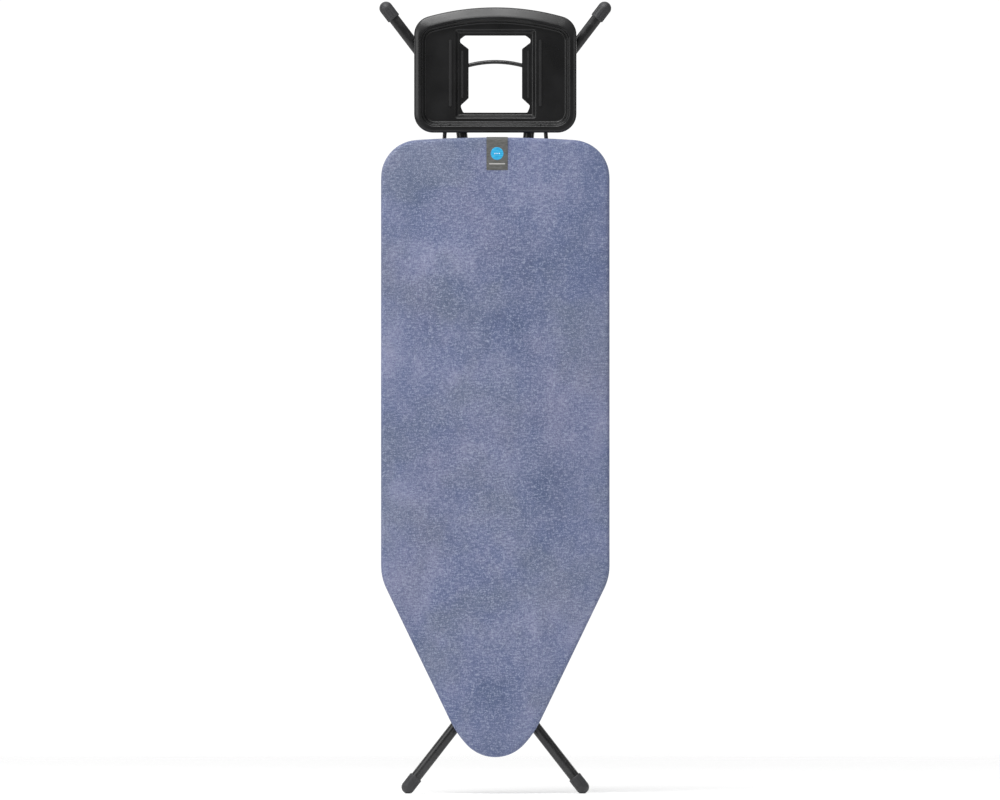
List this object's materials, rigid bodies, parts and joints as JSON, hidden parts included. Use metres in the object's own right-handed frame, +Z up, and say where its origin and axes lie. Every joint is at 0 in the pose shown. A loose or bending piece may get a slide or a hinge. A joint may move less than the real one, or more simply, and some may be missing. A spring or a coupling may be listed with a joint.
{
  "type": "folding ironing board",
  "caption": "Folding ironing board shown folded: padded tapered worktop, crossed splayed tube legs on ribbed end caps, and a fixed black steam unit holder at the head.",
  "frame": {"origin": "centre of the bounding box in X and Y, on the plane that the folded board's feet stand on", "axes": "+Z runs up the folded board from nose to head, the cover faces -Y, +X is to the right of a person who faces the cover"},
  "size_m": [0.4644, 0.07, 1.586],
  "materials": {
    "leg_black": "black satin powder coat",
    "frame_grey": "dark grey satin powder coat",
    "mesh_grey": "light grey coated steel sheet",
    "zinc": "zinc plated steel",
    "foam": "open-cell foam and felt underlay",
    "cover_blue": "mottled blue chambray cotton",
    "label_grey": "woven grey tag with a plain blue disc",
    "tray_black": "black moulded plastic, satin",
    "silicone": "black heat resistant silicone",
    "foot_black": "black ribbed plastic",
    "nylon": "black nylon"
  },
  "bodies": {
    "worktop": {"board_rim": "frame_grey", "mesh_top": "mesh_grey", "nose_cross_member": "frame_grey", "centre_cross_member": "frame_grey", "head_cross_member": "frame_grey", "guide_rail_left": "zinc", "guide_rail_right": "zinc", "rail_stops": "nylon", "pivot_bracket_left": "zinc", "pivot_bracket_right": "zinc", "pivot_axle": "zinc", "axle_rings": "zinc", "latch_bracket": "zinc", "latch_pin": "zinc", "latch_spring": "zinc", "frame_rivets": "zinc", "foam_pad": "foam", "cover": "cover_blue", "cover_label": "label_grey", "lock_stud": "zinc", "holder_wire": "leg_black", "wire_clamp_left": "nylon", "wire_clamp_right": "nylon", "clamp_screws": "zinc", "tray_clamp_left": "nylon", "tray_clamp_right": "nylon", "holder_tray": "tray_black", "heat_strip_outer_left": "silicone", "heat_strip_outer_right": "silicone", "heat_strip_inner_left": "silicone", "heat_strip_inner_right": "silicone"},
    "inner_legs": {"inner_leg_left": "leg_black", "inner_leg_right": "leg_black", "inner_leg_brace": "leg_black", "pivot_lug_left": "leg_black", "pivot_lug_right": "leg_black", "pivot_sleeve": "leg_black", "inner_foot_left": "foot_black", "inner_foot_right": "foot_black"},
    "outer_legs": {"outer_leg_left": "leg_black", "outer_leg_right": "leg_black", "outer_leg_brace": "leg_black", "slide_lug_left": "leg_black", "slide_lug_right": "leg_black", "slide_bar": "zinc", "slide_glide_left": "nylon", "slide_glide_right": "nylon", "centre_rod": "zinc", "centre_sleeve": "nylon", "pivot_spacer_left": "nylon", "pivot_spacer_right": "nylon", "pivot_cap_left": "nylon", "pivot_cap_right": "nylon", "outer_foot_left": "foot_black", "outer_foot_right": "foot_black"},
    "height_latch": {"latch_plate": "zinc", "release_grip": "nylon"},
    "transport_lock": {"lock_hook": "zinc", "lock_grip": "nylon"}
  },
  "joints": [
    {"name": "inner_leg_fold", "type": "hinge", "parent": "worktop", "child": "inner_legs", "pos_m": [0, -0.001, 1.253], "axis": [1, 0, 0], "range_deg": [0, 48]},
    {"name": "scissor_pivot", "type": "hinge", "parent": "inner_legs", "child": "outer_legs", "pos_m": [0, 0.018, 0.793], "axis": [1, 0, 0], "range_deg": [-96, 0]},
    {"name": "latch_release", "type": "hinge", "parent": "worktop", "child": "height_latch", "pos_m": [0, 0.009, 0.765], "axis": [1, 0, 0], "range_deg": [0, 6], "stiffness_Nm_per_rad": 0.8, "springref_deg": -20.05},
    {"name": "transport_lock_turn", "type": "hinge", "parent": "worktop", "child": "transport_lock", "pos_m": [0, 0.03, 0.24], "axis": [0, 1, 0], "range_deg": [0, 90]}
  ],
  "couplings": [
    {"joint": "scissor_pivot", "follows": "inner_leg_fold", "ratio": -2}
  ]
}
